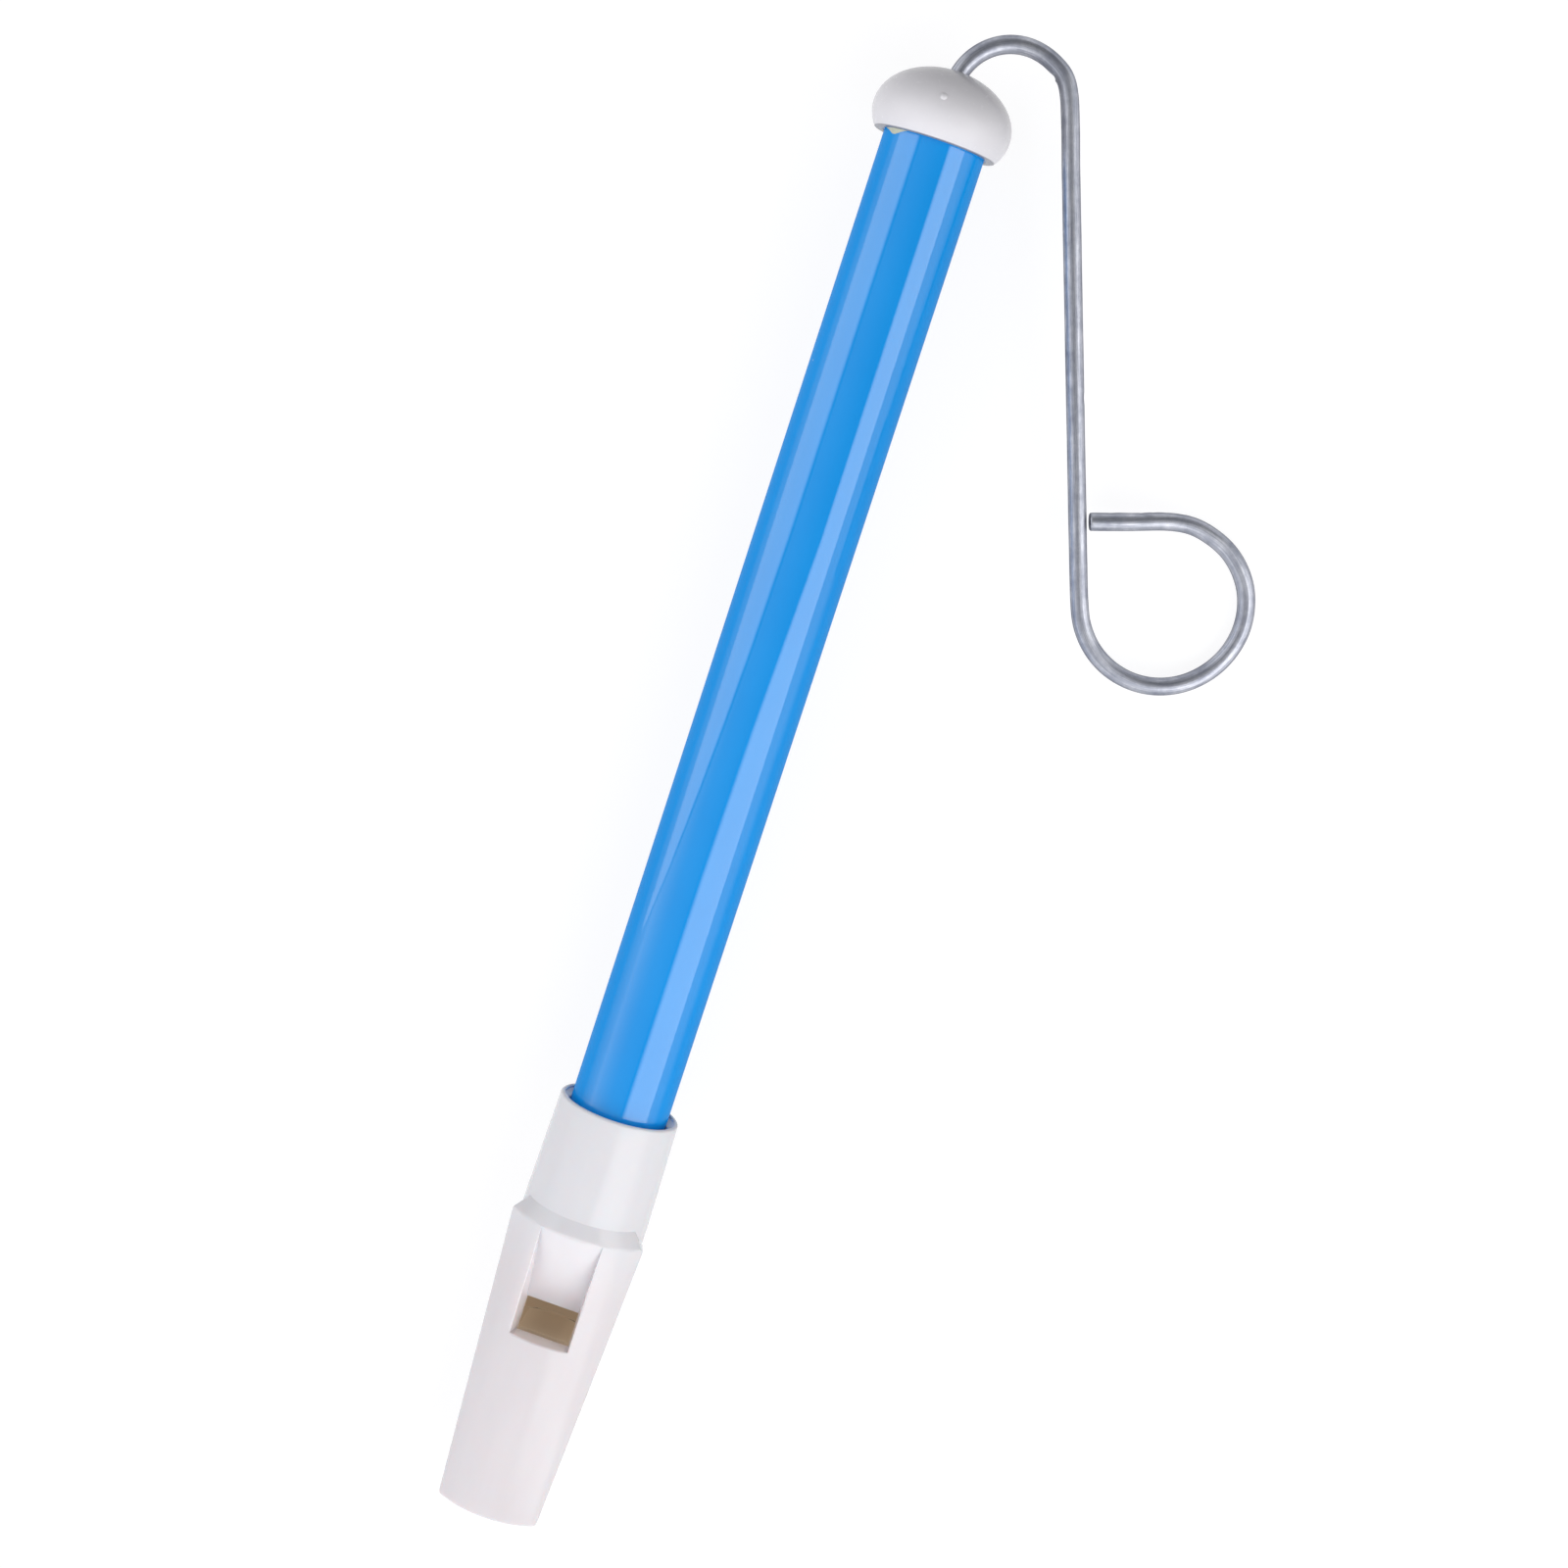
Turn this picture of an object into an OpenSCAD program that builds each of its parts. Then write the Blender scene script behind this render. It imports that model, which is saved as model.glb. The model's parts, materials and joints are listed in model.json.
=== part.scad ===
// Slide whistle, lying on its back with the sound window up.
// The tube's axis is the X axis. The blowing end is at zero and the cap is at the far end.
// All sizes are in millimetres.

/* [Tube] */
// Outside diameter of the tube
tube_d = 13; // [11.5:0.1:15]
// Wall of the tube
tube_wall = 0.8; // [0.6:0.1:1.2]
// Length of tube that shows between the mouthpiece and the cap
tube_show = 128.9; // [80:0.1:200]

/* [Mouthpiece] */
// Length of the beak, from the blowing end to the foot of the shoulder
beak_l = 40.9; // [38:0.1:50]
// Length of the bevel between the beak and the sleeve
shoulder_l = 2.1; // [1.6:0.1:3]
// Length of the sleeve that holds the tube
sleeve_l = 14; // [13:0.5:22]
// How deep the tube sits in the sleeve
socket_depth = 12; // [8:0.5:13]
// Wall over the tube where the beak's front meets the shoulder
front_wall = 2.55; // [2.3:0.05:3.5]
// Wall beside the tube there, out to the corners of the front
side_wall = 2.5; // [2.3:0.05:3.2]
// Wall round the back of the tube there
back_wall = 2.2; // [2:0.05:2.3]
// Radius of the beak's front across its width
front_r = 10.2; // [9.6:0.1:16]
// Wall of the sleeve at its foot
foot_wall = 1.84; // [1.6:0.02:2.1]
// Wall of the sleeve at its rim
rim_wall = 1.5; // [1.3:0.1:1.6]
// Width of the blowing end
tip_w = 13.7; // [12.5:0.1:16]
// Height of the blowing end's front above the axis
tip_front = 6; // [5.6:0.1:6.8]
// Depth of the blowing end's flat back below the axis
tip_back = 2; // [1.8:0.1:3]
// How far the flat back runs up the beak
back_l = 30; // [24:0.5:34]

/* [Window and windway] */
// Width of the sound window and of the windway
window_w = 7.1; // [6:0.1:8]
// Length of the sound window
window_l = 4.4; // [4.2:0.1:6]
// Distance from the blowing end to the window
window_x = 25.6; // [22:0.1:27]
// Height of the sounding edge above the axis
edge_h = 3.8; // [3.5:0.05:4.3]
// Thickness of the sounding edge
edge_t = 0.3; // [0.2:0.1:0.6]
// Height of the windway's roof above the axis, at the window
roof_h = 4.7; // [4.5:0.1:5.2]
// Thickness of the windway's roof at the blowing end
roof_t = 1.5; // [1.2:0.1:1.8]
// Height of the windway
windway_h = 1.1; // [0.8:0.1:1.5]
// Lean of the window's side walls, sideways for each unit of height
draft_share = 0.14; // [0.05:0.01:0.2]

/* [End cap] */
// Diameter of the cap at its widest
cap_d = 17.76; // [17.5:0.02:20]
// Height of the cap, from its rim to its pole
cap_h = 9.3; // [8.8:0.1:12]
// Height of the cap's widest line above its rim
cap_waist = 3; // [2.4:0.1:3.6]
// How deep the tube sits in the cap
cap_socket = 5; // [3.5:0.1:5.5]
// Thickness of the felt washer under the cap
bumper_t = 2; // [1:0.1:4]

/* [Pull wire] */
// Diameter of the wire
wire_d = 2.3; // [1.8:0.1:2.6]
// Bend radius of the hook, at the middle of the wire
hook_r = 7.47; // [6.5:0.01:10]
// Angle between the outer leg and the tube
leg_angle = 20.1; // [14:0.1:26]
// Length of the straight outer leg
leg_l = 62.5; // [45:0.1:75]
// Inside diameter of the finger ring
ring_d = 19; // [16:0.1:26]
// Gap between the ring's cut end and the leg
ring_gap = 0.45; // [0.35:0.05:1.2]

/* [Piston] */
// Length of the piston
piston_l = 9; // [8:0.5:14]
// Width of the felt seal in the piston's groove
seal_w = 5; // [3:0.5:6]
// Distance from the tube's inner end to the piston, pushed in
piston_set = 14; // [8:0.5:24]
// Thickness of a retaining clip
clip_t = 1.2; // [0.8:0.1:2]

/* [Hidden] */
$fn = 64;

// Clearances
glue_gap = 0.05;
hub_gap = 0.05;
seal_gap = 0.05;
flange_gap = 0.3;
guide_gap = 0.4;
clip_gap = 0.02;
end_float = 0.2;

// Overrun of every cut, and the thickness of the thin plates that a hull spans
lap = 1;
skin = 0.01;

// Sides of the beak's round parts, steps across its front, and steps round the dome
form_sides = 32;
front_steps = 14;
dome_steps = 24;

// Tube
tube_r = tube_d / 2;
bore_r = tube_r - tube_wall;

// Mouthpiece: places along the axis, then radii
shoulder_top = beak_l + shoulder_l;
rim_x = shoulder_top + sleeve_l;
tube_x0 = rim_x - socket_depth;
body_front = tube_r + front_wall;
body_side = tube_r + side_wall;
body_back = tube_r + back_wall;
foot_r = tube_r + foot_wall;
rim_r = tube_r + rim_wall;
rim_round = 0.4;
lead_in = 0.8;
tip_round = 0.5;
// The corners between the beak's front and its sides are rounded, and the sides draw in towards the back
corner_r = 1.2;
tip_belly = tip_w / 2 - (side_wall - back_wall);
// The bevel is full width out to this distance, and falls away at the sides by this much.
// Its cut leans, so that it falls further away towards the back.
ear_y = 6.07;
ear_drop = 3.6;
ear_width = 2.67;
ear_lean = 13.6;

// Window, windway and chamber
edge_x = window_x + window_l;
chamber_top = edge_h - edge_t;
chamber_flat = 6;
floor_t = 1.2;
floor_h = 5;
ramp_w = window_w + 4 * edge_t + 2 * lap;

// Cap
cap_x = rim_x + tube_show;
tube_x1 = cap_x + cap_socket;
pole_x = cap_x + cap_h;
cap_r = cap_d / 2;
cap_rise = cap_h - cap_waist;
cap_low = asin(cap_waist / cap_rise);
pip_r = 0.5;
pip_sink = 0.25;
pip_lean = 16.6;

// Wire, in its own plane
wire_r = wire_d / 2;
hook_set = 1.9;
hook_x = pole_x - hook_set;
// The wire thins a little where it is bent, and each straight length runs on a little into the bend
bend_thin = 0.02;
bend_lap = 0.3;
ring_r = ring_d / 2 + wire_r;
stub_l = ring_r - wire_r - ring_gap;
outward = [sin(leg_angle), -cos(leg_angle)];
leg_way = [-cos(leg_angle), -sin(leg_angle)];
hook_c = [hook_x, -hook_r];
leg_a = hook_c + hook_r * outward;
leg_b = leg_a + leg_l * leg_way;
ring_c = leg_b + ring_r * outward;
stub_a = ring_c - ring_r * leg_way;

// The wire's plane leans down until the ring lies as low as the cap does
wire_tilt = asin((cap_r - wire_r) / (ring_r - ring_c.y));

// Piston and clips
groove_r = 3.6;
piston_x = tube_x0 + piston_set;
piston_end = piston_x + piston_l;
clip_r = 3.2;
boss_r = 2;
rod_proud = 1;
rod_x = piston_x - end_float - clip_t - rod_proud;

// Lays children that are built up along Z so that they run along X
module along_x(x = 0) {
    translate([x, 0, 0]) rotate([0, 90, 0]) children();
}

// Stands an outline drawn in X and Z up, and carries it to both sides of the middle plane
module side_prism(width) {
    rotate([90, 0, 0]) linear_extrude(height = width, center = true) children();
}

module ring(r_out, r_in, h) {
    difference() {
        cylinder(h = h, r = r_out);
        translate([0, 0, -lap]) cylinder(h = h + 2 * lap, r = r_in);
    }
}

// A thin slab across the axis, whose outline is drawn in Y and Z
module across(x, length) {
    translate([x, 0, 0]) rotate([90, 0, 90]) linear_extrude(height = length) children();
}

// A slice of the beak: an arched front, rounded corners and a round back, all set in by an inset.
// Its parts only touch, and the hull that holds the slice fills it.
module slice(x, half, top, belly, inset = 0) {
    arch_r = front_r - inset;
    round_r = corner_r - inset;
    mid_z = top - front_r;
    corner_y = half - corner_r;
    reach = asin(corner_y / (front_r - corner_r));
    across(x, skin) {
        polygon([
            for (i = [0:front_steps])
                let (a = reach * (2 * i / front_steps - 1))
                [arch_r * sin(a), mid_z + arch_r * cos(a)]
        ]);
        for (side = [-1, 1])
            translate([side * corner_y, mid_z + (front_r - corner_r) * cos(reach)])
                circle(r = round_r, $fn = form_sides);
        circle(r = belly - inset, $fn = form_sides);
    }
}

module shoulder_slice() {
    slice(beak_l, body_side, body_front, body_back);
}

// The beak's outside: it swells from the tip to the shoulder, and a bevel takes it down to the sleeve's foot
module beak_form() {
    hull() {
        slice(0, tip_w / 2, tip_front, tip_belly, tip_round);
        slice(tip_round, tip_w / 2, tip_front, tip_belly);
        shoulder_slice();
        across(shoulder_top - skin, skin) circle(r = foot_r, $fn = 2 * form_sides);
    }
}

module shoulder() {
    difference() {
        beak_form();
        for (side = [0, 1]) mirror([0, side, 0]) ear_cut();
    }
}

module ear_cut() {
    slope = ear_width / ear_drop;
    far = body_side + ear_width + lap;
    low_x = shoulder_top - 2 * ear_drop;
    rotate([ear_lean, 0, 0]) translate([0, 0, -far]) linear_extrude(height = 2 * far) polygon([
        [shoulder_top + lap, ear_y - slope * lap],
        [low_x, ear_y + 2 * slope * ear_drop],
        [low_x, far + ear_y],
        [shoulder_top + lap, far + ear_y]
    ]);
}

// The sleeve: slightly tapered, with a rounded rim
module sleeve() {
    root = 2 * ear_drop;
    along_x(shoulder_top - root) rotate_extrude() difference() {
        polygon([[0, 0], [foot_r, 0], [foot_r, root], [rim_r, root + sleeve_l], [0, root + sleeve_l]]);
        translate([rim_r - rim_round, root + sleeve_l - rim_round]) difference() {
            square(rim_round + lap);
            circle(r = rim_round);
        }
    }
}

// The tube's seat, with a lead-in at its mouth
module socket() {
    seat_r = tube_r + glue_gap;
    along_x(tube_x0) cylinder(h = socket_depth + lap, r = seat_r);
    along_x(rim_x - lead_in) cylinder(h = lead_in + lap, r1 = seat_r, r2 = seat_r + lead_in + lap);
}

// The air column between the windway and the tube, with a flat roof under the sounding edge
module chamber() {
    flat_x = edge_x + chamber_flat;
    along_x(flat_x) cylinder(h = tube_x0 - flat_x + lap, r = bore_r);
    intersection() {
        along_x(window_x) cylinder(h = flat_x - window_x + lap, r = bore_r);
        translate([window_x - lap, -tube_r, -tube_r])
            cube([flat_x - window_x + 3 * lap, tube_d, tube_r + chamber_top]);
    }
}

// Heights of the windway's roof and of the channel's floor at a place along the beak
function roof_at(x) = tip_front - roof_t + (roof_h - tip_front + roof_t) * x / window_x;
function floor_at(x) = -(tip_back - floor_t) - (floor_h - tip_back + floor_t) * x / window_x;

// The channel that the fipple block is pushed into
module channel() {
    end_x = window_x + lap / 2;
    side_prism(window_w) polygon([
        [-lap, floor_at(-lap)],
        [end_x, floor_at(end_x)],
        [end_x, roof_at(window_x)],
        [window_x, roof_at(window_x)],
        [-lap, roof_at(-lap)]
    ]);
}

// The window and the ramp above it, between side walls that lean outwards
module window_cut() {
    low = chamber_top - lap;
    high = body_front + lap;
    intersection() {
        rotate([90, 0, 90]) linear_extrude(height = beak_l) polygon([
            for (side = [-1, 1], z = side < 0 ? [high, low] : [low, high])
                [side * (window_w / 2 + draft_share * (z - edge_h)), z]
        ]);
        difference() {
            translate([window_x, -body_side, low]) cube([beak_l - window_x, 2 * body_side, high - low]);
            ramp();
        }
    }
}

// What stays below the ramp: it runs from the round of the body down to a straight edge
module ramp() {
    hull() {
        shoulder_slice();
        translate([edge_x, -ramp_w / 2, -edge_h]) cube([skin, ramp_w, 2 * edge_h]);
    }
}

module flat_back() {
    low = tip_belly + (body_back - tip_belly) * back_l / beak_l;
    slope = (low - tip_back) / back_l;
    side_prism(2 * body_side + lap) polygon([
        [-lap, slope * lap - tip_back],
        [back_l + lap, -low - slope * lap],
        [-lap, -low - slope * lap]
    ]);
}

module mouthpiece() {
    color("#ECEAEF") difference() {
        union() {
            shoulder();
            sleeve();
        }
        flat_back();
        socket();
        chamber();
        channel();
        window_cut();
    }
}

// The plug that fills the channel below the windway
module fipple_block() {
    color("#DEDCE2") side_prism(window_w - 2 * glue_gap) polygon([
        [0, floor_at(0) + glue_gap],
        [window_x, floor_at(window_x) + glue_gap],
        [window_x, roof_at(window_x) - windway_h],
        [0, roof_at(0) - windway_h]
    ]);
}

module tube() {
    color("#1E8FE4") along_x(tube_x0) ring(tube_r, bore_r, tube_x1 - tube_x0);
}

// The cap's outside is part of an oval turned about the axis
module cap_form() {
    rotate_extrude() polygon([
        [0, 0],
        for (i = [0:dome_steps])
            let (t = -cap_low + (90 + cap_low) * i / dome_steps)
            [cap_r * cos(t), cap_waist + cap_rise * sin(t)]
    ]);
}

// The small mark that the mould leaves on the cap's side
module pip() {
    reach = cap_r * cos(pip_lean) - pip_sink;
    translate([-reach, 0, cap_waist + cap_rise * sin(pip_lean)]) sphere(r = pip_r);
}

module end_cap() {
    color("#D8D6DA") along_x(cap_x) difference() {
        union() {
            cap_form();
            pip();
        }
        translate([0, 0, -lap]) cylinder(h = cap_socket + lap, r = tube_r + glue_gap);
        cylinder(h = cap_h + lap, r = wire_r + guide_gap);
    }
}

module bumper_washer() {
    color("#5A5A60") along_x(tube_x1 - bumper_t) ring(bore_r - glue_gap, wire_r + guide_gap, bumper_t);
}

// A straight length of the wire, from a point in its plane, with its overrun at the start and at the end
module straight(from, angle, length, before = 0, after = 0) {
    translate([from.x, from.y, 0]) rotate([0, 0, angle])
        along_x(-before) cylinder(h = before + length + after, r = wire_r);
}

// A bend of the wire about a centre in its plane
module bend(centre, r, from, turn) {
    translate([centre.x, centre.y, 0]) rotate([0, 0, from])
        rotate_extrude(angle = turn) translate([r, 0]) circle(r = wire_r - bend_thin);
}

module pull_wire() {
    color("#9DA0AA") rotate([wire_tilt, 0, 0]) {
        straight([rod_x, 0], 0, hook_x - rod_x, after = bend_lap);
        bend(hook_c, hook_r, leg_angle - 90, 180 - leg_angle);
        straight(leg_a, 180 + leg_angle, leg_l, before = bend_lap, after = bend_lap);
        bend(ring_c, ring_r, 90 + leg_angle, 270);
        straight(stub_a, 90 + leg_angle, stub_l, before = bend_lap);
    }
}

module piston() {
    color("#F2F1EC") along_x(piston_x) difference() {
        cylinder(h = piston_l, r = bore_r - flange_gap);
        translate([0, 0, -lap]) cylinder(h = piston_l + 2 * lap, r = wire_r + hub_gap);
        translate([0, 0, (piston_l - seal_w) / 2]) ring(bore_r + lap, groove_r, seal_w);
    }
}

module piston_seal() {
    color("#B9A98C") along_x(piston_x + (piston_l - seal_w) / 2 + glue_gap)
        ring(bore_r - seal_gap, groove_r + glue_gap, seal_w - 2 * glue_gap);
}

// A push-on clip, built up from its flange
module clip() {
    ring(clip_r, wire_r + clip_gap, clip_t / 2);
    ring(boss_r, wire_r + clip_gap, clip_t);
}

module front_clip() {
    color("#8C9098") translate([piston_x - end_float, 0, 0]) mirror([1, 0, 0]) along_x() clip();
}

module rear_clip() {
    color("#8C9098") along_x(piston_end + end_float) clip();
}

mouthpiece();
fipple_block();
tube();
end_cap();
bumper_washer();
pull_wire();
piston();
piston_seal();
front_clip();
rear_clip();
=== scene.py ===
import json

import bpy
import numpy as np
from mathutils import Matrix, Vector


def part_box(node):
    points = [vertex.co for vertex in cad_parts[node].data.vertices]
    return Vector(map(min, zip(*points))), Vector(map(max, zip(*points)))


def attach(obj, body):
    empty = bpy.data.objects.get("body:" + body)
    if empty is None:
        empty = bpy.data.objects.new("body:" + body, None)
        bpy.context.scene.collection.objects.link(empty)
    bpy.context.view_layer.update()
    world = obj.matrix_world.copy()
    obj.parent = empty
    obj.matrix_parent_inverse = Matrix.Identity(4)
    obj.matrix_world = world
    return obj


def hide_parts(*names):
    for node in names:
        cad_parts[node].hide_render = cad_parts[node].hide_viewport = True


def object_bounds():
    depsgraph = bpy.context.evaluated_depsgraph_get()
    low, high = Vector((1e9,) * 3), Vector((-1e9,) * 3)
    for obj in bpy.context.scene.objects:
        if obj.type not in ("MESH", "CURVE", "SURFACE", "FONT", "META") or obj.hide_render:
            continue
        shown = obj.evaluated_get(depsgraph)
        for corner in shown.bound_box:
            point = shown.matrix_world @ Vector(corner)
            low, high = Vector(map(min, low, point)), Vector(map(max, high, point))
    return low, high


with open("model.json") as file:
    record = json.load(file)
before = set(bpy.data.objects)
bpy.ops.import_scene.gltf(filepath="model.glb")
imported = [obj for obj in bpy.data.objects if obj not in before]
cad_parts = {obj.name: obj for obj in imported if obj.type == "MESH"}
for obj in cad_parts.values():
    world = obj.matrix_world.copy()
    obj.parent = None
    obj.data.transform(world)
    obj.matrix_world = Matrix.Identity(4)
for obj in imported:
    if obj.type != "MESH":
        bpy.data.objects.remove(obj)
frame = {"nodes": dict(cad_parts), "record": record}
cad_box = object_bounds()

MM = 0.001
rad = np.radians


def corners(node):
    """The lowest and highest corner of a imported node, in millimetres."""
    low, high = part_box(node)
    return np.array(low) / MM, np.array(high) / MM


mouth_high = corners("mouthpiece")[1]
tube_low, tube_high = corners("tube")
cap_low, cap_high = corners("end_cap")
wire_low = corners("pull_wire")[0]
mounts = {m["name"]: m for m in frame["record"]["mounts"]}

# Beak, in the order of the part's own values
BEAK_L = 40.9
SHOULDER_L = 2.1
SLEEVE_TOP = mouth_high[0]
SHOULDER_TOP = BEAK_L + SHOULDER_L
TUBE_R = tube_high[1]
BORE_R = TUBE_R - 0.8
TUBE_X0 = tube_low[0]
BODY_FRONT = TUBE_R + 2.55
BODY_SIDE = TUBE_R + 2.5
BODY_BACK = TUBE_R + 2.2
FOOT_R = TUBE_R + 1.84
RIM_R = TUBE_R + 1.5
FRONT_R = 10.2
CORNER_R = 1.2
TIP_HALF = 6.85
TIP_FRONT = 6.0
TIP_BACK = 2.0
TIP_BELLY = TIP_HALF - (BODY_SIDE - BODY_BACK)
TIP_ROUND = 0.5
BACK_L = 30.0
RIM_ROUND = 0.4
LEAD_IN = 0.8
GLUE_GAP = 0.05
SEAT_R = TUBE_R + GLUE_GAP
# The sleeve's first stretch above its foot, which is a patch of its own
SLEEVE_START_L = 2.5
# The leaning plane that takes the bevel away at both sides, as in the part's source
EAR_Y = 6.07
EAR_SLOPE = 2.67 / 3.6
EAR_LEAN = rad(13.6)
EAR_START = rad(60.3)

# Window, windway and chamber
HALF_W = 3.55
WINDOW_X = 25.6
EDGE_X = WINDOW_X + 4.4
EDGE_H = 3.8
EDGE_T = 0.3
ROOF_TIP = TIP_FRONT - 1.5
ROOF_H = 4.7
DRAFT = 0.14
CHAMBER_TOP = EDGE_H - EDGE_T
FLAT_X = EDGE_X + 6.0
FLOOR_TIP = 1.2 - TIP_BACK
FLOOR_WINDOW = -5.0
# The channel's sides take up the lean of the window's sides over this length
LEAN_RUN = 5.6

# Cap
CAP_X = cap_low[0]
CAP_R = cap_high[1]
CAP_H = 9.3
CAP_WAIST = 3.0
CAP_RISE = CAP_H - CAP_WAIST
CAP_SOCKET = 5.0
CAP_EDGE = 0.25
PIP_R = 0.6
PIP_SINK = 0.42
PIP_LEAN = rad(16.6)

# Wire
WIRE_R = 1.15
HOLE_R = WIRE_R + 0.4
ROD_X0 = wire_low[0]
HOOK_X = 193.3
HOOK_R = 7.47
LEG_ANGLE = rad(20.1)
LEG_L = 62.5
RING_R = 10.65
STUB_L = RING_R - WIRE_R - 0.45
wire_normal = np.array(mounts["finger_ring"]["axis"])
WIRE_TILT = np.arctan2(-wire_normal[1], wire_normal[2])


def lerp(a, b, t):
    """The point a share t of the way from a to b."""
    return a + (b - a) * t


def grid(points, flip=False):
    """Corner points and four-sided faces of a grid of points, rows by columns.

    A face's front is on the side of row direction cross column direction, or the other side if flipped."""
    rows, cols = points.shape[:2]
    index = np.arange(rows * cols).reshape(rows, cols)
    a, b, c, d = index[:-1, :-1], index[1:, :-1], index[1:, 1:], index[:-1, 1:]
    quads = np.stack([a, d, c, b] if flip else [a, b, c, d], -1).reshape(-1, 4)
    return points.reshape(-1, 3), quads


def mirrored(patch):
    """The same patch on the other side of the middle plane, with its faces turned to stay outwards."""
    points, quads = patch
    return points * [1, -1, 1], quads[:, ::-1]


def key(points):
    """Points rounded to a ten-thousandth of a millimetre, so that equal ones compare equal."""
    return np.round(points * 1e4).astype(np.int64)


def joined(patches):
    """All patches as one set of points and faces. Points that meet become one, a face that loses one of
    its edges so becomes a triangle, and a face with no area is dropped."""
    offsets = np.cumsum([0] + [len(p) for p, q in patches[:-1]])
    points = np.concatenate([p for p, q in patches])
    quads = np.concatenate([q + o for (p, q), o in zip(patches, offsets)])
    first, inverse = np.unique(key(points), axis=0, return_index=True, return_inverse=True)[1:]
    quads = inverse.reshape(-1)[quads]
    same = quads == np.roll(quads, -1, axis=1)
    crossed = (quads[:, 0] == quads[:, 2]) | (quads[:, 1] == quads[:, 3])
    whole = quads[~same.any(1) & ~crossed]
    one_lost = (same.sum(1) == 1) & ~crossed
    order = (same[one_lost].argmax(1)[:, None] + np.arange(1, 4)) % 4
    tris = np.take_along_axis(quads[one_lost], order, 1)
    return points[first], whole.tolist() + tris.tolist()


def in_scene(name, data):
    """A new object at the origin that holds this mesh, lamp or camera."""
    made = bpy.data.objects.new(name, data)
    bpy.context.scene.collection.objects.link(made)
    return made


def mesh_object(name, points, faces, finish):
    """A new object whose mesh has these points, given in millimetres, and one material."""
    mesh = bpy.data.meshes.new(name)
    mesh.from_pydata((points * MM).tolist(), [], faces)
    mesh.materials.append(finish)
    return in_scene(name, mesh)


def piece(name, points, faces, finish, body, slot, stands_for=(), sharp=rad(28)):
    """A finished mesh object that rides on a body. Edges steeper than the sharp angle stay crisp."""
    made = mesh_object(name, points, faces, finish)
    made.data.validate()
    made.data.shade_smooth()
    made.data.set_sharp_from_angle(angle=float(sharp))
    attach(made, body)
    if stands_for:
        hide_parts(*stands_for)
    return made


def soften(made, corner_points, lines, width):
    """Rounds the named lines of a mesh with a bevel. Each line is points and a share of the width at each."""
    mesh = made.data
    at = {tuple(k): i for i, k in enumerate(key(corner_points).tolist())}
    ends = np.empty(len(mesh.edges) * 2, int)
    mesh.edges.foreach_get("vertices", ends)
    edge_at = {frozenset(e): i for i, e in enumerate(ends.reshape(-1, 2).tolist())}
    weights = np.zeros(len(mesh.edges))
    for points, shares in lines:
        shares = np.broadcast_to(shares, len(points))
        for side in ([1, 1, 1], [1, -1, 1]):
            ids = [at.get(tuple(k)) for k in key(points * side).tolist()]
            for a, b, share in zip(ids[:-1], ids[1:], shares):
                edge = edge_at.get(frozenset((a, b)))
                if edge is not None:
                    weights[edge] = share
    mesh.attributes.new("bevel_weight_edge", "FLOAT", "EDGE").data.foreach_set("value", weights)
    bevel = made.modifiers.new("rounding", "BEVEL")
    bevel.limit_method = "WEIGHT"
    bevel.width = width * MM
    bevel.segments = 4
    bevel.use_clamp_overlap = False
    bevel.harden_normals = True


# Materials: colours are sRGB hex, turned to linear here
def linear(text):
    """An sRGB hex colour as linear red, green, blue and alpha."""
    parts = np.array([int(text[i:i + 2], 16) for i in (1, 3, 5)]) / 255
    parts = np.where(parts <= 0.04045, parts / 12.92, ((parts + 0.055) / 1.055) ** 2.4)
    return (*parts.tolist(), 1.0)


def plug(tree, node, links):
    """Gives inputs of a node a value, another node's output, or another node's first output in use."""
    for name, value in links.items():
        if isinstance(value, bpy.types.Node):
            value = next(output for output in value.outputs if output.enabled)
        if isinstance(value, bpy.types.NodeSocket):
            tree.links.new(value, node.inputs[name])
        else:
            node.inputs[name].default_value = value


def add(tree, kind, links=None, **settings):
    """Adds a node. Settings are its own properties, and links say what its inputs get."""
    made = tree.nodes.new(kind)
    for name, value in settings.items():
        setattr(made, name, value)
    plug(tree, made, links or {})
    return made


def material(name):
    """A new node material: its tree, its main shader and its Object coordinates in millimetres."""
    made = bpy.data.materials.new(name)
    made.use_nodes = True
    tree = made.node_tree
    place = add(tree, "ShaderNodeTexCoord").outputs["Object"]
    scaled = add(tree, "ShaderNodeVectorMath", {0: place, "Scale": 1 / MM}, operation="SCALE")
    return made, tree, tree.nodes["Principled BSDF"], scaled


def mottled(tree, place, size, dark, light, **noise):
    """Soft patches of about one size in millimetres, and the colour between two tones that follows them."""
    patches = add(tree, "ShaderNodeTexNoise", {"Vector": place, "Scale": 1 / size, **noise})
    return patches, add(tree, "ShaderNodeMix", {"Factor": patches, 6: dark, 7: light}, data_type="RGBA")


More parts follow.
